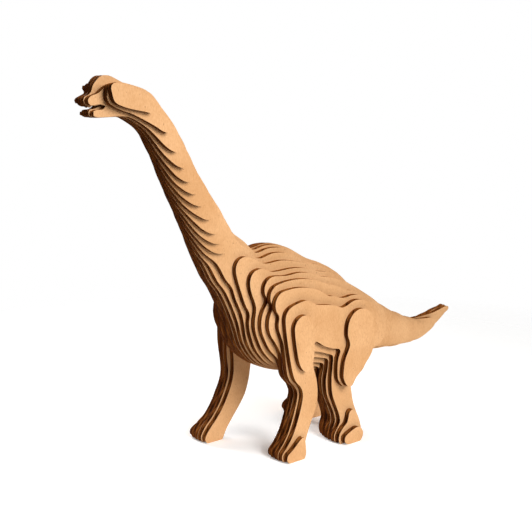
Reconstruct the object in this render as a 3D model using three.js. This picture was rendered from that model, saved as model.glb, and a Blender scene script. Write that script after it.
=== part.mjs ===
// A brachiosaur model stacked from upright slices of corrugated board, laser-cut and pinned.
// Millimetres, +Z up. The animal faces -X, and its left side is the -Y side.
// Every slice lies in a plane of constant Y. Each limb is a round form; a slice is what the plane
// cuts out of all the limbs together, so the steps between slices follow the muscles.
// Wooden dowels along Y run through holes in the inner slices, and stop under the outer ones.
import * as THREE from 'three';

// ---- driving dimensions -------------------------------------------------------------------
const PITCH = 4.0;              // from one slice to the next
const GLUE_GAP = 0.3;           // left between two slices that lie face to face
const BOARD = PITCH - GLUE_GAP; // thickness of a slice
const LOWEST_LEVEL = -15;       // slices are counted from the body's middle plane
const HIGHEST_LEVEL = 11;
const SOLE = 0;                 // the feet are cut off flat at this height

const DOWEL_RADIUS = 2.0;
const HOLE_RADIUS = DOWEL_RADIUS + 0.3;
const HOLE_MARGIN = 2.4;        // least board left around a hole
const HOLE_SIDES = 10;

const CELL = 1.5;               // step of the grid on which a slice is traced
const OUTLINE_TOLERANCE = 0.3;  // a traced point this close to a straight run is dropped
const BLEND = 3.0;              // how softly one limb runs into the next
const SMALLEST_SLICE = 45;      // an island of less area than this isn't cut
const WHOLE_BODY = 2500;        // an island of more area than this spans the trunk
const TOE_HEIGHT = 20;          // an island lower than this is only toes
const SECTION_POWER = 2.2;      // 2 is an elliptical limb section, more is fuller
const STEPS_PER_STATION = 10;

const BOARD_COLOUR = 0xe9bd85;
const DOWEL_COLOUR = 0xd9b98a;

// ---- the animal's form --------------------------------------------------------------------
// A limb is a chain of stations [x, y, z, depth, width]: the middle of the limb, its half
// depth within the plane of the slices, and its half width across them.
const LEFT_FLANK = [
  [-36, -29, 92, 14, 9.5], [-27, -29, 88.5, 17.3, 9.5], [-19, -29, 85.5, 19.3, 9.5],
  [-11, -29, 82.6, 19.5, 9.5], [2, -29, 80, 16, 9.5],
];
const LEFT_SHIN = [
  [1, -27, 58, 10.6, 8.9], [-4.2, -27, 46, 10.9, 8.9], [-3.7, -27, 39, 11.1, 8.9], [-1, -27, 28, 9, 8.9],
  [1, -27, 22, 8.6, 8.9], [3.6, -27, 13, 9.4, 8.9], [3, -27, 6, 11.4, 8.9],
];
const RIGHT_SHIN = [
  [5, 27, 58, 11, 8.9], [4, 27, 46, 11.2, 8.9], [6.6, 27, 39, 11, 8.9], [11.2, 27, 28, 9, 8.9],
  [13.4, 27, 22, 8.6, 8.9], [16.3, 27, 13, 9.4, 8.9], [15.7, 27, 6, 11.4, 8.9],
];
const LEFT_BROW = [[-184, -54, 238.4, 3, 4.4], [-192, -55, 241, 2.3, 3.6]];

// The same muscle on the other side of an upright plane through the limb's middle.
function mirrored(chain, middle) {
  return chain.map(([x, y, z, depth, width]) => [x, 2 * middle - y, z, depth, width]);
}

// The back rises inwards in steps, a step for each slice: the slice's level, and the points
// [x, z, depth] that run backwards under its upper edge.
const BACK_STEPS = [
  [9, [-50.5, 95.5, 8.5], [-42, 97, 9]],
  [8, [-55.6, 105, 8.5], [-42, 106, 8]],
  [7, [-57, 109.5, 8], [-50, 111.5, 7.2], [-40, 110.7, 7.8], [-31.7, 108.5, 7.6], [-20, 105.7, 7.4]],
  [6, [-58.3, 114, 8.2], [-45, 114.3, 6.9], [-37, 114.1, 7.1], [-28, 112.2, 7.1], [-15, 108.5, 7]],
  [5, [-61, 103, 8.5], [-68, 120.4, 6.8], [-57, 118.4, 6.1], [-38.5, 117.4, 6.6], [-15, 111.8, 6.5]],
  [4, [-68, 108, 8], [-77, 129.5, 6], [-61, 123.8, 6], [-35, 121.2, 6.6], [-14, 116.3, 6.5]],
];
const HIP_STEPS = [
  [9, [-3, 86.4, 8.8], [4.5, 86.6, 8.8]],
  [8, [-1.6, 90.8, 9], [5, 91, 9]],
  [7, [-1.2, 96, 9], [6, 95.2, 9]],
  [6, [1, 100.6, 8.8], [8.5, 99.4, 8.8]],
];
const STEP_WIDTH = 2;

function ridges(name, side, steps) {
  return Object.fromEntries(steps.map(([level, ...points]) => [
    `${name}_${level}`,
    points.map(([x, z, depth]) => [x, side * level * PITCH, z, depth, STEP_WIDTH]),
  ]));
}

const HEAD_MIDDLE = -43;
const LEFT_SHIN_MIDDLE = -24;
const LIMBS = {
  spine: [
    [-58, 0, 108, 22.5, 21], [-45, 0, 105.5, 34, 21.5], [-20, 0, 96, 31, 22], [0, 0, 88.5, 26.6, 22],
    [18, 0, 82, 23.8, 21.5], [38, 1, 75, 20, 20], [58, 2, 67, 17, 15],
  ],
  tail: [
    [38, 1, 75, 20, 20], [58, 2, 67, 17, 15], [80, 4, 60.5, 14, 11],
    [100, 7, 55.8, 10.8, 8.5], [118, 10, 53, 8.8, 7], [133, 12, 54.6, 7.2, 5.8],
    [146, 14, 58, 5, 5], [161, 15, 63.4, 2.4, 4.2],
  ],
  ribcage: [
    [-50, 0, 92, 25, 35], [-35, 0, 90.5, 38.5, 37], [-26, 0, 88.5, 38, 34.5],
    [-15, 0, 86.5, 38.5, 35], [5, 0, 79.5, 32, 36.5], [22, 0, 76, 26.5, 33], [40, 0, 70, 19, 25],
  ],
  neck: [
    [-58, 0, 108, 22.5, 21], [-75, 0, 126, 18.6, 15.6], [-91, -3, 143.5, 14.4, 12.9],
    [-106, -12, 160.5, 12.2, 13.5], [-120.5, -20, 176.5, 10.6, 12.3], [-135, -29, 192, 9.3, 11.6],
    [-148, -37, 208, 8.4, 11], [-160.8, -42, 222.8, 7.6, 11.4], [-172.3, -43, 232.1, 8.2, 13.8],
  ],
  ...ridges('left_back', -1, BACK_STEPS),
  ...ridges('right_back', 1, BACK_STEPS),
  left_flank: LEFT_FLANK,
  right_flank: mirrored(LEFT_FLANK, 0),
  ...ridges('left_hip', -1, HIP_STEPS),
  ...ridges('right_hip', 1, HIP_STEPS),
  skull: [[-172.3, -43, 232.1, 8.2, 13.8], [-183, -43, 235.8, 8, 17], [-189, -43, 236.6, 6.2, 17]],
  muzzle: [[-187, -43, 238, 4.2, 8.9], [-195, -43, 235.8, 3.3, 8.8], [-200.9, -43, 234.2, 2.9, 8.2]],
  jaw: [[-181, -43, 229.8, 3.6, 8.9], [-192, -43, 228.1, 2.4, 8.8], [-199, -43, 227.7, 2.1, 8]],
  crest: [[-184, -43, 240.4, 4, 5], [-190.8, -43, 242.2, 4.9, 4.8], [-195, -43, 240, 3.6, 4.4]],
  crest_ridge: [
    [-189.5, -44, 241.8, 4.2, 2.2], [-190.4, -40, 242, 4.7, 2.2], [-187.6, -36, 241.6, 4.4, 2.2],
    [-185, -32, 240.8, 4, 2.2],
  ],
  left_brow: LEFT_BROW,
  right_brow: mirrored(LEFT_BROW, HEAD_MIDDLE),
  left_arm: [
    [-46, -31, 89, 13, 11.3], [-44.5, -31, 72, 11.5, 11], [-43.4, -30, 60, 10.8, 10],
    [-39, -30, 51, 8.6, 9.7], [-37, -30.6, 42, 7.8, 9.2], [-39, -30.8, 33, 8.5, 9.15],
    [-42.2, -30.8, 25, 7.6, 9.15], [-45.6, -30.8, 16, 7.2, 9.15], [-49.4, -31, 8, 8.3, 10],
    [-51, -31.5, 3, 8.6, 11],
  ],
  left_hand: [[-50, -32, 4.5, 7.2, 11.6], [-57, -32, 3.4, 5, 11.2]],
  right_arm: [
    [-45, 31, 89, 13, 11.3], [-45.5, 31, 72, 12.4, 11], [-46.6, 30.5, 60, 11, 10],
    [-47.2, 30, 51, 9.8, 9.7], [-48, 29.4, 42, 8.6, 9.2], [-51.4, 29.2, 33, 9, 9.15],
    [-57.6, 29.2, 22, 7.4, 9.15], [-65.6, 29.2, 11.5, 7.2, 9.15], [-69.8, 30, 6, 8.2, 10.2],
  ],
  right_hand: [[-70, 31.2, 4.5, 7.2, 11.1], [-75.6, 31.2, 3.4, 5, 11.1]],
  left_thigh: [
    [6, -25, 82, 22, 17.5], [7.5, -28, 70, 17, 15.3], [1.8, -29.5, 60, 14.2, 14.2],
    [-3.4, -30, 51, 9.2, 13.8], [-3.8, -30, 45, 5.2, 13.5],
  ],
  left_outer_shin: LEFT_SHIN,
  left_inner_shin: mirrored(LEFT_SHIN, LEFT_SHIN_MIDDLE),
  left_ankle: [[3, -33, 19, 4, 6.5], [3.5, -33, 11, 7, 6.5], [1, -33, 4, 10.5, 6.5]],
  left_foot: [[4, -31, 5, 8.2, 11.8], [-4.6, -31, 4, 5.6, 11.2]],
  right_thigh: [
    [6, 25, 82, 22, 17.5], [8.5, 28, 70, 17, 15.3], [5, 29.5, 60, 14.2, 14.2],
    [3.4, 30, 51, 9.2, 13.8], [4.4, 30, 45, 5.2, 13.5],
  ],
  right_outer_shin: RIGHT_SHIN,
  right_inner_shin: mirrored(RIGHT_SHIN, -LEFT_SHIN_MIDDLE),
  right_ankle: [[15.7, 33, 19, 4, 6.5], [16.2, 33, 11, 7, 6.5], [15, 33, 4, 9.6, 6.5]],
  right_foot: [[16.7, 31, 5, 8.2, 11.8], [10.6, 31, 4, 5.6, 11.2]],
};

// Each dowel is a point [x, z] in the side view and a level whose slice it certainly crosses.
const DOWELS = {
  chest_dowel: [-50, 104, 0],
  shoulder_dowel: [-44, 66, -7],
  back_dowel: [-18, 108, 0],
  belly_dowel: [-18, 62, 0],
  hip_dowel: [4, 66, -6],
  loin_dowel: [14, 92, 0],
  tail_root_dowel: [46, 71, 0],
  tail_dowel: [78, 60, 1],
  neck_root_dowel: [-78, 131, 0],
  lower_neck_dowel: [-98, 153, -2],
  middle_neck_dowel: [-120, 177, -5],
  upper_neck_dowel: [-146, 207, -9],
  head_dowel: [-183, 236, -11],
  left_elbow_dowel: [-37.4, 42, -8],
  left_knee_dowel: [-3, 37, -6],
  right_elbow_dowel: [-48, 42, 8],
  right_knee_dowel: [5, 38, 6],
};

// ---- slicing ------------------------------------------------------------------------------
// A smooth run of stations through the hand-set ones.
function smoothChain(stations) {
  const middles = stations.map(([x, y, z]) => new THREE.Vector3(x, y, z));
  const path = new THREE.CatmullRomCurve3(middles, false, 'centripetal');
  const last = stations.length - 1;
  const count = last * STEPS_PER_STATION;
  return Array.from({ length: count + 1 }, (_, step) => {
    const place = path.getPoint(step / count);
    const row = Math.min(Math.floor(step / STEPS_PER_STATION), last - 1);
    const part = step / STEPS_PER_STATION - row;
    const ease = part * part * (3 - 2 * part);
    const [depth, width] = [3, 4].map((column) => (
      THREE.MathUtils.lerp(stations[row][column], stations[row + 1][column], ease)));
    return { place, depth, width };
  });
}

const CHAINS = Object.entries(LIMBS).map(([limb, stations]) => [limb, smoothChain(stations)]);

// The discs that each limb leaves in the plane at y.
function discsAt(y) {
  const limbs = CHAINS.map(([, chain]) => chain.flatMap(({ place, depth, width }) => {
    const across = Math.abs(y - place.y) / width;
    if (across >= 1) return [];
    const radius = depth * (1 - across ** SECTION_POWER) ** (1 / SECTION_POWER);
    return [{ x: place.x, z: place.z, radius }];
  }));
  return limbs.filter((discs) => discs.length > 0);
}

function softMax(a, b) {
  const near = Math.max(BLEND - Math.abs(a - b), 0) / BLEND;
  return Math.max(a, b) + near * near * BLEND / 4;
}

// How far inside the form the point lies, in millimetres; negative outside.
function depthInside(limbs, x, z) {
  const OUTSIDE = -1000;
  let total = OUTSIDE;
  for (const discs of limbs) {
    let inside = OUTSIDE;
    for (const disc of discs) {
      inside = Math.max(inside, disc.radius - Math.hypot(x - disc.x, z - disc.z));
    }
    total = softMax(total, inside);
  }
  return Math.min(total, z - SOLE);
}

// A square grid a little larger than the side view of all the limbs.
function gridAround(stations) {
  const EDGE = 4;
  const low = (pick, size) => Math.min(...stations.map((row) => pick(row) - size(row))) - EDGE;
  const high = (pick, size) => Math.max(...stations.map((row) => pick(row) + size(row))) + EDGE;
  const depth = (row) => row[3];
  const x0 = low((row) => row[0], depth);
  const z0 = SOLE - EDGE;
  return {
    x0,
    z0,
    columns: Math.ceil((high((row) => row[0], depth) - x0) / CELL),
    rows: Math.ceil((high((row) => row[2], depth) - z0) / CELL),
  };
}

const GRID = gridAround(Object.values(LIMBS).flat());

// Closed outlines of the form in one plane, traced cell by cell with the form on the left.
function traceOutlines(limbs) {
  const { x0, z0, columns, rows } = GRID;
  const NEVER_ZERO = 1e-9;
  const samples = Array.from({ length: rows + 1 }, (_, row) => (
    Array.from({ length: columns + 1 }, (__, column) => (
      depthInside(limbs, x0 + column * CELL, z0 + row * CELL) || NEVER_ZERO))));
  const next = new Map();
  const points = new Map();
  // The outline crosses a grid edge once; the edge's two ends are its key.
  const crossing = (from, to) => {
    const [a, b] = [from, to].sort((p, q) => p[1] - q[1] || p[0] - q[0]);
    const key = `${a},${b}`;
    if (!points.has(key)) {
      const [va, vb] = [a, b].map(([column, row]) => samples[row][column]);
      const along = va / (va - vb);
      const column = THREE.MathUtils.lerp(a[0], b[0], along);
      const row = THREE.MathUtils.lerp(a[1], b[1], along);
      points.set(key, new THREE.Vector2(x0 + column * CELL, z0 + row * CELL));
    }
    return key;
  };
  for (let row = 0; row < rows; row += 1) {
    for (let column = 0; column < columns; column += 1) {
      const corners = [[0, 0], [1, 0], [1, 1], [0, 1]].map(([c, r]) => [column + c, row + r]);
      const inside = corners.map(([c, r]) => samples[r][c] > 0);
      const sides = [0, 1, 2, 3];
      const leaving = sides.filter((side) => inside[side] && !inside[(side + 1) % 4]);
      const entering = sides.filter((side) => !inside[side] && inside[(side + 1) % 4]);
      leaving.forEach((exit) => {
        const turn = (side) => (side - exit + 4) % 4;
        const entry = entering.reduce((best, side) => (turn(side) < turn(best) ? side : best));
        const [from, to] = [exit, entry].map((side) => crossing(corners[side], corners[(side + 1) % 4]));
        next.set(from, to);
      });
    }
  }
  const outlines = [];
  while (next.size > 0) {
    const outline = [];
    let key = next.keys().next().value;
    while (next.has(key)) {
      outline.push(points.get(key));
      const following = next.get(key);
      next.delete(key);
      key = following;
    }
    outlines.push(outline);
  }
  return outlines;
}

// Drops every point that lies within the tolerance of the line between its kept neighbours.
function thinRun(run) {
  const [first, last] = [run[0], run[run.length - 1]];
  const along = last.clone().sub(first);
  const distance = (point) => (
    Math.abs(along.cross(point.clone().sub(first))) / Math.max(along.length(), 1e-6));
  let farthest = 0;
  run.forEach((point, row) => {
    if (distance(point) > distance(run[farthest])) farthest = row;
  });
  if (distance(run[farthest]) <= OUTLINE_TOLERANCE) return [first, last];
  return [...thinRun(run.slice(0, farthest + 1)), ...thinRun(run.slice(farthest)).slice(1)];
}

function thinOutline(outline) {
  const far = outline.reduce((best, point, row) => (
    point.distanceTo(outline[0]) > outline[best].distanceTo(outline[0]) ? row : best), 0);
  const there = thinRun(outline.slice(0, far + 1));
  const back = thinRun([...outline.slice(far), outline[0]]);
  return [...there.slice(0, -1), ...back.slice(0, -1)];
}

// ---- dowels and their holes ---------------------------------------------------------------
const SECTIONS = new Map();
for (let level = LOWEST_LEVEL; level <= HIGHEST_LEVEL; level += 1) {
  SECTIONS.set(level, discsAt(level * PITCH));
}

// The dowel crosses the unbroken run of slices that hold its hole, but not the outer two.
function dowelRun([x, z, start]) {
  const holds = (level) => (
    SECTIONS.has(level) && depthInside(SECTIONS.get(level), x, z) > HOLE_RADIUS + HOLE_MARGIN);
  let first = start;
  let last = start;
  while (holds(first - 1)) first -= 1;
  while (holds(last + 1)) last += 1;
  return { x, z, first: first + 1, last: last - 1 };
}

const RUNS = Object.entries(DOWELS).map(([name, point]) => ({ name, ...dowelRun(point) }));

function holesOf(outline, level) {
  const contains = ({ x, z }) => {
    const crossed = outline.filter((a, row) => {
      const b = outline[(row + 1) % outline.length];
      return (a.y > z) !== (b.y > z) && x < a.x + ((b.x - a.x) * (z - a.y)) / (b.y - a.y);
    });
    return crossed.length % 2 === 1;
  };
  const here = RUNS.filter((run) => run.first <= level && level <= run.last && contains(run));
  return here.map(({ x, z }) => new THREE.Path(
    Array.from({ length: HOLE_SIDES }, (_, side) => {
      const angle = -2 * Math.PI * side / HOLE_SIDES;
      return new THREE.Vector2(x + HOLE_RADIUS * Math.cos(angle), z + HOLE_RADIUS * Math.sin(angle));
    }),
  ));
}

// ---- the solids ---------------------------------------------------------------------------
const model = new THREE.Group();

function add(name, geometry, colour, roughness) {
  const material = new THREE.MeshStandardMaterial({ color: colour, roughness, metalness: 0 });
  const mesh = new THREE.Mesh(geometry, material);
  mesh.name = name;
  model.add(mesh);
  return mesh;
}

// L12 is the twelfth slice to the left of the middle one, R03 the third to the right.
function levelLabel(level) {
  if (level === 0) return 'middle';
  return (level < 0 ? 'L' : 'R') + String(Math.abs(level)).padStart(2, '0');
}

// An island that isn't the trunk is named after the limb that passes nearest to its middle.
function limbOf(outline, level) {
  if (THREE.ShapeUtils.area(outline) > WHOLE_BODY) return 'body';
  const onlyToes = Math.max(...outline.map((point) => point.y)) < TOE_HEIGHT;
  const middle = outline.reduce((sum, point) => sum.add(point), new THREE.Vector2());
  middle.divideScalar(outline.length);
  const centre = new THREE.Vector3(middle.x, level * PITCH, middle.y);
  const limbs = CHAINS.filter(([limb]) => /hand|foot/.test(limb) === onlyToes);
  const reach = limbs.map(([limb, chain]) => {
    const gaps = chain.map(({ place }) => place.distanceTo(centre));
    return { limb, gap: Math.min(...gaps) };
  });
  return reach.reduce((best, row) => (row.gap < best.gap ? row : best)).limb;
}

function sliceGeometry(outline, level) {
  const shape = new THREE.Shape(outline);
  shape.holes = holesOf(outline, level);
  const geometry = new THREE.ExtrudeGeometry(shape, { depth: BOARD, bevelEnabled: false });
  geometry.rotateX(Math.PI / 2);
  return geometry;
}

SECTIONS.forEach((limbs, level) => {
  traceOutlines(limbs).forEach((traced) => {
    const outline = thinOutline(traced);
    if (THREE.ShapeUtils.area(outline) < SMALLEST_SLICE) return;
    const name = `${limbOf(outline, level)}_slice_${levelLabel(level)}`;
    const slice = add(name, sliceGeometry(outline, level), BOARD_COLOUR, 0.85);
    slice.position.y = level * PITCH + BOARD / 2;
  });
});

RUNS.forEach(({ name, x, z, first, last }) => {
  const length = (last - first) * PITCH + BOARD;
  const rod = new THREE.CylinderGeometry(DOWEL_RADIUS, DOWEL_RADIUS, length, HOLE_SIDES);
  const dowel = add(name, rod, DOWEL_COLOUR, 0.7);
  dowel.position.set(x, (first + last) / 2 * PITCH, z);
});

// The origin is the middle of the model's footprint box, on the surface it stands on.
model.updateMatrixWorld(true);
const box = new THREE.Box3().setFromObject(model, true);
const centre = box.getCenter(new THREE.Vector3());
model.position.set(-centre.x, -centre.y, -box.min.z);
model.updateMatrixWorld(true);

export default model;
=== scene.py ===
import math

import bpy
import numpy as np
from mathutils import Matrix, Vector
from mathutils.geometry import delaunay_2d_cdt


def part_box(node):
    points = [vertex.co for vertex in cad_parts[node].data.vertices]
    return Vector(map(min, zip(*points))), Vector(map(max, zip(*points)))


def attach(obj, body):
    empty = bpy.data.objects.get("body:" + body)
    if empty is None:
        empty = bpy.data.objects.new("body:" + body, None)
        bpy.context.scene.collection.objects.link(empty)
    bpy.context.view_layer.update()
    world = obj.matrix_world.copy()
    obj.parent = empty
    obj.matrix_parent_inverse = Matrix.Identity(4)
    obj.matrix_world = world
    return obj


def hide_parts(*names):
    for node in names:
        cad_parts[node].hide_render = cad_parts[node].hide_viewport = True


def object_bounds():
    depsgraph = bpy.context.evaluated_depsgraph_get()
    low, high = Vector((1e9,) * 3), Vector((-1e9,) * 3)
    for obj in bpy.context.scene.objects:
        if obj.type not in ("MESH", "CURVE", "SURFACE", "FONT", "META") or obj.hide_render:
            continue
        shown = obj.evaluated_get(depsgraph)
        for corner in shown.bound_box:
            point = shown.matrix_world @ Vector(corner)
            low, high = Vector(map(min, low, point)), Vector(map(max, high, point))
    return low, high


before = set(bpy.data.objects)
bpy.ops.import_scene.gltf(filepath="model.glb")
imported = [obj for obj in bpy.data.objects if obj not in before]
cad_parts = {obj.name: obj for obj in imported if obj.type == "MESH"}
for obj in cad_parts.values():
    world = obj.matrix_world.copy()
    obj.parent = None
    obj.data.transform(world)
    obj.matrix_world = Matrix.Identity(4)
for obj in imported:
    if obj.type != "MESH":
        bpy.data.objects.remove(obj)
cad_low, cad_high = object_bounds()

# Every slice is a sheet of corrugated board: two kraft liners with a fluted sheet between them.
# The flutes stand upright, so their open ends show on the slices' tops and undersides.

MM = 0.001
LINER = 0.42 * MM
FLUTED_SHEET = 0.30 * MM
FLUTE = 7.6 * MM
COLUMNS_PER_FLUTE = 8
# The gap between a flute's crest and its liner.
GLUE_LINE = 0.02 * MM
# How far each slice's flutes are shifted from its neighbour's, as a part of a flute.
GOLDEN_SHIFT = 0.618

OUTLINE_STEP = 1.2 * MM
SHARP_TURN = math.radians(62)
BORE_SIDES = 28
BORE_PERIMETER = 20 * MM
SAME_PLACE = 0.05 * MM
PLACE_DIGITS = 3
ON_FACE = 1e-6
ON_COLUMN = 1e-7
COLUMN_ROUNDING = 1e-6
LEAST_EDGE = 1e-6
LEAST_CHORD = 1e-9
CENTRIPETAL = 0.5
CONVEX_HULL = 0
CDT_EPSILON = 1e-6

# The dowels that line the slices up: birch rods with eased ends.
DOWEL_SIDES = 32
DOWEL_EASING = 0.35 * MM

# The camera looks at a point just ahead of the model's middle.
AIM_HEIGHT = 0.515 * (cad_high.z - cad_low.z)
AIM = Vector((-36 * MM, -7 * MM, AIM_HEIGHT))
CAMERA_AZIMUTH = math.radians(-40)
CAMERA_ELEVATION = math.radians(10.2)
CAMERA_DISTANCE = 0.62
LENS = 64.3
SENSOR = 36.0
CLIP_START = 0.01

# Light: a soft key square to the slices and above them, so that faces are lit and cut edges
# stay dark, a like one behind the model for its far side, and a wide one overhead.
KEY_PLACE = (-0.03, -0.58, 0.40)
KEY_TARGET = (-0.07, 0.0, 0.13)
KEY_SIZE = 0.34
KEY_POWER = 2.1
KEY_SPREAD = 120
REAR_PLACE = (-0.03, 0.72, 0.42)
REAR_POWER = 2.2
OVERHEAD_PLACE = (0.0, 0.0, 1.3)
OVERHEAD_TARGET = (0.0, 0.0, 0.0)
OVERHEAD_SIZE = 1.2
OVERHEAD_POWER = 6.5
OVERHEAD_SPREAD = 180
FILL = 0.11
FILL_COLOUR = (1.0, 0.86, 0.68, 1)
ROOM_COLOUR = (1, 1, 1, 1)
ROOM_STRENGTH = 1.0

FLOOR_COLOUR = (0.97, 0.97, 0.97, 1)
FLOOR_GLOW = 0.22
FLOOR_ROUGHNESS = 0.9
FLOOR_GLOSS = 0.1
FLOOR_RADIUS = 0.50
FADE_START = 0.12
FLOOR_SIDES = 96


# ---------------------------------------------------------------- outlines

def signed_area(loop):
    """The area inside a closed loop of (x, z) points, positive where it runs anticlockwise."""
    x, z = loop[:, 0], loop[:, 1]
    return 0.5 * float(np.sum(x * np.roll(z, -1) - np.roll(x, -1) * z))


def near_face_loops(node):
    """The closed loops round a slice's near face, outline first and bores after it."""
    mesh = node.data
    near = min(v.co.y for v in mesh.vertices)
    places = {}
    index_of = []
    for v in mesh.vertices:
        key = (round(v.co.x / MM, PLACE_DIGITS), round(v.co.z / MM, PLACE_DIGITS))
        index_of.append(places.setdefault(key, len(places)))
    corners = [np.array(key) * MM for key in places]
    steps = set()
    for face in mesh.polygons:
        if all(abs(mesh.vertices[i].co.y - near) < ON_FACE for i in face.vertices):
            ring = [index_of[i] for i in face.vertices]
            steps.update(zip(ring, ring[1:] + ring[:1]))
    following = {a: b for a, b in steps if (b, a) not in steps}
    loops = []
    while following:
        start, current = following.popitem()
        ring = [start]
        while current != start:
            ring.append(current)
            current = following.pop(current)
        loops.append(np.array([corners[i] for i in ring]))
    return sorted(loops, key=signed_area, reverse=True)


def spline_span(before, start, end, after, count):
    """Points from start up to, but not onto, end on a centripetal Catmull-Rom curve."""
    knots = [0.0]
    for a, b in ((before, start), (start, end), (end, after)):
        knots.append(knots[-1] + max(np.linalg.norm(b - a), LEAST_CHORD) ** CENTRIPETAL)
    t0, t1, t2, t3 = knots
    t = np.linspace(t1, t2, count, endpoint=False)[:, None]
    a1 = (t1 - t) / (t1 - t0) * before + (t - t0) / (t1 - t0) * start
    a2 = (t2 - t) / (t2 - t1) * start + (t - t1) / (t2 - t1) * end
    a3 = (t3 - t) / (t3 - t2) * end + (t - t2) / (t3 - t2) * after
    b1 = (t2 - t) / (t2 - t0) * a1 + (t - t0) / (t2 - t0) * a2
    b2 = (t3 - t) / (t3 - t1) * a2 + (t - t1) / (t3 - t1) * a3
    return (t2 - t) / (t2 - t1) * b1 + (t - t1) / (t2 - t1) * b2


def is_sharp(before, corner, after):
    """True where the outline turns so far that the knife made a real corner."""
    a, b = corner - before, after - corner
    turn = math.atan2(a[0] * b[1] - a[1] * b[0], a[0] * b[0] + a[1] * b[1])
    return abs(turn) > SHARP_TURN


def smooth_outline(loop):
    """A smooth closed curve through a slice's outline, with its real corners kept."""
    count = len(loop)
    sharp = [is_sharp(loop[i - 1], loop[i], loop[(i + 1) % count]) for i in range(count)]
    spans = []
    for i in range(count):
        before, start = loop[i - 1], loop[i]
        end, after = loop[(i + 1) % count], loop[(i + 2) % count]
        if sharp[i]:
            before = 2 * start - end
        if sharp[(i + 1) % count]:
            after = 2 * end - start
        pieces = max(1, round(float(np.linalg.norm(end - start)) / OUTLINE_STEP))
        spans.append(spline_span(before, start, end, after, pieces))
    curve = np.concatenate(spans)
    curve[:, 0] = np.clip(curve[:, 0], cad_low.x, cad_high.x)
    curve[:, 1] = np.clip(curve[:, 1], cad_low.z, cad_high.z)
    return curve


def round_bore(loop):
    """A true circle in place of a bore's few sides, clockwise as a hole runs."""
    centre = loop.mean(0)
    radius = np.linalg.norm(loop - centre, axis=1).mean()
    turns = -np.arange(BORE_SIDES) * 2 * math.pi / BORE_SIDES
    return centre + radius * np.stack([np.cos(turns), np.sin(turns)], 1)


def drawn_loops(node):
    """The loops that a slice's board is cut along."""
    loops = []
    for loop in near_face_loops(node):
        length = float(np.linalg.norm(loop - np.roll(loop, -1, 0), axis=1).sum())
        is_bore = signed_area(loop) < 0 and length < BORE_PERIMETER
        loops.append(round_bore(loop) if is_bore else smooth_outline(loop))
    return loops


# ---------------------------------------------------------------- triangles

def inside(points, loops):
    """For each (x, z) point, whether it is inside the outline and outside the bores."""
    hits = np.zeros(len(points), int)
    x, z = points[:, 0][:, None], points[:, 1][:, None]
    for loop in loops:
        ax, az = loop[:, 0][None], loop[:, 1][None]
        bx, bz = np.roll(loop[:, 0], -1)[None], np.roll(loop[:, 1], -1)[None]
        spans = (az > z) != (bz > z)
        rise = np.where(bz == az, 1.0, bz - az)
        hits += (spans & (x < ax + (z - az) / rise * (bx - ax))).sum(1)
    return hits % 2 == 1


def with_columns(loops, pitch, shift):
    """The loops with a point wherever an upright column line crosses them."""
    cut = []
    for loop in loops:
        number = np.round(loop[:, 0] / pitch - shift)
        nearest = (number + shift) * pitch
        loop = loop.copy()
        close = np.abs(loop[:, 0] - nearest) < SAME_PLACE
        loop[close, 0] = nearest[close]
        points = []
        for a, b in zip(loop, np.roll(loop, -1, 0)):
            points.append(a)
            first, last = a[0] / pitch - shift, b[0] / pitch - shift
            low, high = min(first, last), max(first, last)
            lowest = math.floor(low + COLUMN_ROUNDING) + 1
            numbers = list(range(lowest, math.ceil(high - COLUMN_ROUNDING)))
            for n in numbers if last > first else reversed(numbers):
                part = (n - first) / (last - first)
                points.append(np.array([(n + shift) * pitch, a[1] + part * (b[1] - a[1])]))
        cut.append(np.array(points))
    return cut


def column_edges(points, loops, pitch, shift):
    """The pieces of each column line that lie in the board, as pairs of point numbers."""
    number = points[:, 0] / pitch - shift
    nearest = np.round(number)
    on_line = np.flatnonzero(np.abs(number - nearest) * pitch < ON_COLUMN)
    by_column = {}
    for i in on_line:
        by_column.setdefault(int(nearest[i]), []).append(int(i))
    pairs = []
    for members in by_column.values():
        members.sort(key=lambda i: points[i, 1])
        pairs += list(zip(members, members[1:]))
    if not pairs:
        return []
    ends = np.array(pairs)
    middles = (points[ends[:, 0]] + points[ends[:, 1]]) / 2
    kept = inside(middles, loops)
    apart = points[ends[:, 1], 1] - points[ends[:, 0], 1] > LEAST_EDGE
    return [tuple(pair) for pair, good in zip(pairs, kept & apart) if good]


def triangles_of(loops, pitch=None, shift=0.0):
    """Points and triangles that fill the loops, with edges along any column lines."""
    if pitch:
        loops = with_columns(loops, pitch, shift)
    points = np.concatenate(loops)
    edges = []
    first = 0
    for loop in loops:
        ring = list(range(first, first + len(loop)))
        edges += list(zip(ring, ring[1:] + ring[:1]))
        first += len(loop)
    if pitch:
        edges += column_edges(points, loops, pitch, shift)
    flat = [Vector(p / MM) for p in points]
    made, _, faces, _, _, _ = delaunay_2d_cdt(flat, edges, [], CONVEX_HULL, CDT_EPSILON)
    made = np.array([tuple(p) for p in made]) * MM
    faces = np.array([tuple(f) for f in faces])
    faces = faces[inside(made[faces].mean(1), loops)]
    a, b, c = made[faces[:, 0]], made[faces[:, 1]], made[faces[:, 2]]
    ab, ac = b - a, c - a
    clockwise = ab[:, 0] * ac[:, 1] < ab[:, 1] * ac[:, 0]
    faces[clockwise] = faces[clockwise][:, ::-1]
    return made, faces


# ---------------------------------------------------------------- boards

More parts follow.
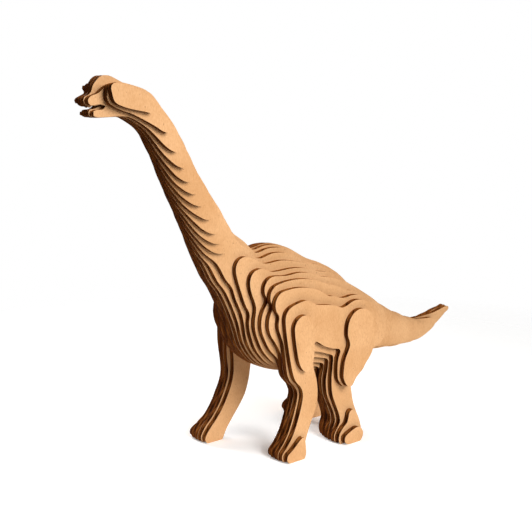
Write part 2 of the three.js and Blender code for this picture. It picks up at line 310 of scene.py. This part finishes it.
class Solid:
    """Vertices, faces and material numbers of a mesh that is being built."""

    def __init__(self):
        self.vertices = []
        self.faces = []
        self.materials = []

    def sheet(self, points, triangles, near, far, near_material, far_material, wall_material):
        """Adds a closed sheet between two y values, each one number or one per point."""
        count = len(points)
        base = len(self.vertices)
        near = np.broadcast_to(near, count)
        far = np.broadcast_to(far, count)
        self.vertices += [(p[0], y, p[1]) for p, y in zip(points, near)]
        self.vertices += [(p[0], y, p[1]) for p, y in zip(points, far)]
        steps = set()
        for a, b, c in triangles.tolist():
            self.faces.append((base + a, base + b, base + c))
            self.materials.append(near_material)
            self.faces.append((base + count + c, base + count + b, base + count + a))
            self.materials.append(far_material)
            steps.update(((a, b), (b, c), (c, a)))
        for a, b in sorted(steps):
            if (b, a) not in steps:
                self.faces.append((base + b, base + a, base + count + a, base + count + b))
                self.materials.append(wall_material)

    def build(self, name, materials, sharp_angle):
        """The finished Blender object."""
        mesh = bpy.data.meshes.new(name)
        mesh.from_pydata(self.vertices, [], self.faces)
        for material in materials:
            mesh.materials.append(material)
        mesh.polygons.foreach_set("material_index", self.materials)
        mesh.polygons.foreach_set("use_smooth", [True] * len(self.faces))
        mesh.set_sharp_from_angle(angle=sharp_angle)
        mesh.validate()
        mesh.update()
        made = bpy.data.objects.new(name, mesh)
        bpy.context.scene.collection.objects.link(made)
        return made


KRAFT, CUT, FLUTES = 0, 1, 2
BOARD_SHARP = math.radians(38)


def corrugated_board(name, loops, near, far, shift, materials):
    """One slice: two liners and the fluted sheet between them."""
    solid = Solid()
    points, triangles = triangles_of(loops)
    solid.sheet(points, triangles, near, near + LINER, KRAFT, FLUTES, CUT)
    solid.sheet(points, triangles, far - LINER, far, FLUTES, KRAFT, CUT)
    pitch = FLUTE / COLUMNS_PER_FLUTE
    points, triangles = triangles_of(loops, pitch, shift)
    room = far - near - 2 * LINER - FLUTED_SHEET - 2 * GLUE_LINE
    turns = (points[:, 0] / pitch - shift) * 2 * math.pi / COLUMNS_PER_FLUTE
    wave = (near + far) / 2 + room / 2 * np.sin(turns)
    low, high = wave - FLUTED_SHEET / 2, wave + FLUTED_SHEET / 2
    solid.sheet(points, triangles, low, high, FLUTES, FLUTES, CUT)
    return solid.build(name, materials, BOARD_SHARP)


# ---------------------------------------------------------------- materials

# A Mix node's colour sockets, by number, because its other types' sockets share their names.
MIX_FACTOR, MIX_FIRST, MIX_SECOND = 0, 6, 7
MIX_RESULT = 2


class Nodes:
    """Short calls that add nodes to a material."""

    def __init__(self, name):
        self.material = bpy.data.materials.new(name)
        self.material.use_nodes = True
        self.tree = self.material.node_tree
        self.shader = self.tree.nodes["Principled BSDF"]

    def add(self, kind, inputs=(), **settings):
        node = self.tree.nodes.new(kind)
        for key, value in settings.items():
            setattr(node, key, value)
        for key, value in dict(inputs).items():
            if isinstance(value, bpy.types.NodeSocket):
                self.tree.links.new(value, node.inputs[key])
            else:
                node.inputs[key].default_value = value
        return node

    def link(self, socket, name):
        self.tree.links.new(socket, self.shader.inputs[name])

    def place(self, stretch=(1, 1, 1)):
        """Object coordinates in millimetres, stretched."""
        where = self.add("ShaderNodeTexCoord").outputs["Object"]
        scale = tuple(1 / MM / s for s in stretch)
        return self.add("ShaderNodeMapping", {"Vector": where, "Scale": scale}).outputs["Vector"]

    def noise(self, size, detail=2.0, roughness=0.5, stretch=(1, 1, 1)):
        """A soft pattern whose features are about size millimetres across."""
        inputs = {
            "Vector": self.place(stretch),
            "Scale": 1 / size,
            "Detail": detail,
            "Roughness": roughness,
        }
        return self.add("ShaderNodeTexNoise", inputs).outputs["Fac"]

    def spread(self, socket, low, high, out_low=0.0, out_high=1.0):
        """The socket's range low to high, spread over out_low to out_high."""
        inputs = {
            "Value": socket,
            "From Min": low,
            "From Max": high,
            "To Min": out_low,
            "To Max": out_high,
        }
        return self.add("ShaderNodeMapRange", inputs).outputs["Result"]

    def blend(self, factor, first, second):
        """A colour between two colours."""
        node = self.add("ShaderNodeMix", data_type="RGBA")
        inputs = {MIX_FACTOR: factor, MIX_FIRST: first, MIX_SECOND: second}
        for socket, value in inputs.items():
            if isinstance(value, bpy.types.NodeSocket):
                self.tree.links.new(value, node.inputs[socket])
            else:
                node.inputs[socket].default_value = value
        return node.outputs[MIX_RESULT]

    def math(self, operation, first, second):
        node = self.add("ShaderNodeMath", {0: first, 1: second}, operation=operation)
        return node.outputs["Value"]


def linear(value):
    """A screen value, 0 to 255, as a linear one, by the sRGB curve."""
    return ((value / 255 + 0.055) / 1.055) ** 2.4 if value > 10 else value / 255 / 12.92


def colour(red, green, blue):
    """A screen colour, 0 to 255, as the linear colour that shaders take."""
    return linear(red), linear(green), linear(blue), 1


KRAFT_DARK, KRAFT_LIGHT = colour(205, 156, 108), colour(219, 172, 125)
KRAFT_FIBRE, KRAFT_FLECK = colour(182, 130, 80), colour(124, 78, 40)
# The scorch in two painted copies: a darker one in painted shade for upright edges, and a lighter
# one in painted light from above for level edges.
SHADED_SCORCH_DARK, SHADED_SCORCH_LIGHT = colour(40, 10, 1), colour(88, 34, 6)
TOP_LIT_SCORCH_DARK, TOP_LIT_SCORCH_LIGHT = colour(88, 42, 11), colour(152, 92, 34)
# The fluted paper's two tones: smoke stain plus painted shade of the flutes' hollows.
SMOKE_AND_SHADE_DARK, SMOKE_AND_SHADE_LIGHT = colour(114, 60, 20), colour(168, 104, 46)
STAINED_GRAIN = colour(84, 40, 12)
BIRCH_DARK, BIRCH_LIGHT = colour(206, 166, 116), colour(232, 200, 154)

# How strongly the fine patterns show over the tone under them.
FIBRE_STRENGTH = 0.45
FLECK_STRENGTH = 0.5
GRAIN_STRENGTH = 0.4

KRAFT_GLOSS = 0.12
CUT_GLOSS = 0.06
CUT_ROUGHNESS = 0.75
STAINED_ROUGHNESS = 0.9
BUMP_STRENGTH = 0.25
BUMP_DEPTH = 0.05 * MM


def kraft_paper():
    """The liner: tan paper with fine fibres, dark flecks and a slow drift of tone."""
    n = Nodes("kraft_paper")
    drift = n.spread(n.noise(size=34, detail=3), low=0.36, high=0.64)
    tone = n.blend(drift, KRAFT_DARK, KRAFT_LIGHT)
    fibres = n.noise(size=0.55, detail=3, roughness=0.6, stretch=(1, 1, 3.2))
    fibres = n.spread(fibres, low=0.35, high=0.68)
    tone = n.blend(n.math("MULTIPLY", fibres, FIBRE_STRENGTH), tone, KRAFT_FIBRE)
    flecks = n.spread(n.noise(size=0.8, detail=1, stretch=(1, 1, 2)), low=0.70, high=0.78)
    tone = n.blend(n.math("MULTIPLY", flecks, FLECK_STRENGTH), tone, KRAFT_FLECK)
    n.link(tone, "Base Color")
    n.link(n.spread(fibres, low=0, high=1, out_low=0.78, out_high=0.92), "Roughness")
    n.shader.inputs["Specular IOR Level"].default_value = KRAFT_GLOSS
    relief = {"Height": fibres, "Strength": BUMP_STRENGTH, "Distance": BUMP_DEPTH}
    n.link(n.add("ShaderNodeBump", relief).outputs["Normal"], "Normal")
    return n.material


def cut_edge():
    """The scorched cut with painted light: nearly black on upright edges, as scorch in painted
    shade, and browner on level ones, as scorch in painted light from above.
    """
    n = Nodes("scorched_edge_painted_light")
    normal = n.add("ShaderNodeNewGeometry").outputs["Normal"]
    upward = n.add("ShaderNodeSeparateXYZ", {"Vector": normal}).outputs["Z"]
    # Painted light: the more level an edge is, the more it takes the lighter, top-lit scorch
    # instead of the darker, shaded one.
    level = n.spread(n.math("ABSOLUTE", upward, 0.0), low=0.45, high=0.98)
    scorch = n.spread(n.noise(size=5, detail=3), low=0.3, high=0.7)
    shaded_scorch = n.blend(scorch, SHADED_SCORCH_DARK, SHADED_SCORCH_LIGHT)
    top_lit_scorch = n.blend(scorch, TOP_LIT_SCORCH_DARK, TOP_LIT_SCORCH_LIGHT)
    n.link(n.blend(level, shaded_scorch, top_lit_scorch), "Base Color")
    n.shader.inputs["Roughness"].default_value = CUT_ROUGHNESS
    n.shader.inputs["Specular IOR Level"].default_value = CUT_GLOSS
    return n.material


def fluted_paper():
    """The fluted sheet and the liners' hidden sides: darker paper, partly real smoke stain and
    partly painted shade of the hollows between the flutes.
    """
    n = Nodes("fluted_paper")
    stain = n.spread(n.noise(size=7, detail=3, stretch=(1, 1, 2.5)), low=0.3, high=0.7)
    # Painted shade: both tones are darker than the liner for the shade in the flutes' hollows, on
    # top of the smoke stain.
    tone = n.blend(stain, SMOKE_AND_SHADE_DARK, SMOKE_AND_SHADE_LIGHT)
    grain = n.spread(n.noise(size=0.5, detail=2, stretch=(1, 1, 3)), low=0.3, high=0.7)
    shown = n.math("MULTIPLY", grain, GRAIN_STRENGTH)
    n.link(n.blend(shown, tone, STAINED_GRAIN), "Base Color")
    n.shader.inputs["Roughness"].default_value = STAINED_ROUGHNESS
    n.shader.inputs["Specular IOR Level"].default_value = CUT_GLOSS
    return n.material


def birch():
    """The dowels' pale wood, with grain along their length."""
    n = Nodes("birch")
    grain = n.noise(size=0.9, detail=4, roughness=0.6, stretch=(1, 14, 1))
    grain = n.spread(grain, low=0.3, high=0.7)
    n.link(n.blend(grain, BIRCH_DARK, BIRCH_LIGHT), "Base Color")
    n.link(n.spread(grain, low=0, high=1, out_low=0.5, out_high=0.65), "Roughness")
    return n.material


# ---------------------------------------------------------------- pieces

def level_of(name):
    """A slice's level from the end of its node's name: negative to the left of the middle slice."""
    label = name.rsplit("_", 1)[1]
    if label == "middle":
        return 0
    return int(label[1:]) * (-1 if label[0] == "L" else 1)


def build_slice(name, materials):
    low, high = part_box(name)
    shift = (level_of(name) * GOLDEN_SHIFT) % 1.0 * COLUMNS_PER_FLUTE
    loops = drawn_loops(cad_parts[name])
    board = corrugated_board(name + "_board", loops, low.y, high.y, shift, materials)
    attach(board, "root")
    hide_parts(name)


def build_dowel(name, material):
    """A round rod with eased ends in its CAD dowel's place."""
    low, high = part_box(name)
    centre = (low + high) / 2
    radius = (high.x - low.x) / 2
    rings = [
        (low.y, radius - DOWEL_EASING),
        (low.y + DOWEL_EASING, radius),
        (high.y - DOWEL_EASING, radius),
        (high.y, radius - DOWEL_EASING),
    ]
    vertices = []
    for y, r in rings:
        for i in range(DOWEL_SIDES):
            turn = i * 2 * math.pi / DOWEL_SIDES
            vertices.append((centre.x + r * math.cos(turn), y, centre.z + r * math.sin(turn)))
    count = len(vertices)
    near_end = tuple(range(DOWEL_SIDES))
    far_end = tuple(range(count - 1, count - DOWEL_SIDES - 1, -1))
    faces = [near_end, far_end]
    for first in range(0, count - DOWEL_SIDES, DOWEL_SIDES):
        for i in range(DOWEL_SIDES):
            a, b = first + i, first + (i + 1) % DOWEL_SIDES
            faces.append((b, a, a + DOWEL_SIDES, b + DOWEL_SIDES))
    solid = Solid()
    solid.vertices = vertices
    solid.faces = faces
    solid.materials = [0] * len(faces)
    rod = solid.build(name + "_rod", [material], BOARD_SHARP)
    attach(rod, "root")
    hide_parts(name)


board_materials = [kraft_paper(), cut_edge(), fluted_paper()]
wood = birch()
for node_name in sorted(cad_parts):
    if "_slice_" in node_name:
        build_slice(node_name, board_materials)
    else:
        build_dowel(node_name, wood)


# ---------------------------------------------------------------- stage

def floor():
    """A pale disc under the model that fades out into the white of the room."""
    n = Nodes("pale_floor")
    n.shader.inputs["Base Color"].default_value = FLOOR_COLOUR
    n.shader.inputs["Emission Color"].default_value = FLOOR_COLOUR
    n.shader.inputs["Emission Strength"].default_value = FLOOR_GLOW
    n.shader.inputs["Roughness"].default_value = FLOOR_ROUGHNESS
    n.shader.inputs["Specular IOR Level"].default_value = FLOOR_GLOSS
    where = n.add("ShaderNodeTexCoord").outputs["Object"]
    away = n.add("ShaderNodeVectorMath", {0: where}, operation="LENGTH").outputs["Value"]
    n.link(n.spread(away, FADE_START, FLOOR_RADIUS, 1.0, 0.0), "Alpha")
    ring = [i * 2 * math.pi / FLOOR_SIDES for i in range(FLOOR_SIDES)]
    mesh = bpy.data.meshes.new("floor")
    rim = [(FLOOR_RADIUS * math.cos(t), FLOOR_RADIUS * math.sin(t), cad_low.z) for t in ring]
    mesh.from_pydata(rim, [], [tuple(range(FLOOR_SIDES))])
    mesh.materials.append(n.material)
    made = bpy.data.objects.new("floor", mesh)
    bpy.context.scene.collection.objects.link(made)


def area_light(name, place, target, size, power, spread):
    """A round soft light at a place, turned to face its target."""
    data = bpy.data.lights.new(name, "AREA")
    data.shape = "DISK"
    data.size = size
    data.energy = power
    data.spread = math.radians(spread)
    light = bpy.data.objects.new(name, data)
    light.location = place
    light.rotation_mode = "QUATERNION"
    light.rotation_quaternion = (Vector(target) - Vector(place)).to_track_quat("-Z", "Y")
    bpy.context.scene.collection.objects.link(light)


def white_room():
    """An even fill from all round, seen as plain white behind the model."""
    world = bpy.data.worlds.new("white_room")
    world.use_nodes = True
    tree = world.node_tree
    background = tree.nodes["Background"]
    seen = tree.nodes.new("ShaderNodeLightPath").outputs["Is Camera Ray"]
    tint = tree.nodes.new("ShaderNodeMix")
    tint.data_type = "RGBA"
    tree.links.new(seen, tint.inputs[MIX_FACTOR])
    tint.inputs[MIX_FIRST].default_value = FILL_COLOUR
    tint.inputs[MIX_SECOND].default_value = ROOM_COLOUR
    tree.links.new(tint.outputs[MIX_RESULT], background.inputs["Color"])
    strength = tree.nodes.new("ShaderNodeMapRange")
    tree.links.new(seen, strength.inputs["Value"])
    strength.inputs["To Min"].default_value = FILL
    strength.inputs["To Max"].default_value = ROOM_STRENGTH
    tree.links.new(strength.outputs["Result"], background.inputs["Strength"])
    bpy.context.scene.world = world


def camera():
    """The camera, at the photograph's angle and distance."""
    back = Vector((
        math.sin(CAMERA_AZIMUTH) * math.cos(CAMERA_ELEVATION),
        -math.cos(CAMERA_AZIMUTH) * math.cos(CAMERA_ELEVATION),
        math.sin(CAMERA_ELEVATION),
    ))
    data = bpy.data.cameras.new("camera")
    data.lens = LENS
    data.sensor_width = SENSOR
    data.clip_start = CLIP_START
    made = bpy.data.objects.new("camera", data)
    made.rotation_mode = "QUATERNION"
    made.location = AIM + back * CAMERA_DISTANCE
    made.rotation_quaternion = (-back).to_track_quat("-Z", "Y")
    bpy.context.scene.collection.objects.link(made)
    bpy.context.scene.camera = made


floor()
white_room()
area_light("key", KEY_PLACE, KEY_TARGET, KEY_SIZE, KEY_POWER, KEY_SPREAD)
area_light("rear", REAR_PLACE, KEY_TARGET, KEY_SIZE, REAR_POWER, KEY_SPREAD)
area_light(
    "overhead", OVERHEAD_PLACE, OVERHEAD_TARGET, OVERHEAD_SIZE, OVERHEAD_POWER, OVERHEAD_SPREAD
)
camera()
bpy.context.scene.view_settings.view_transform = "Standard"
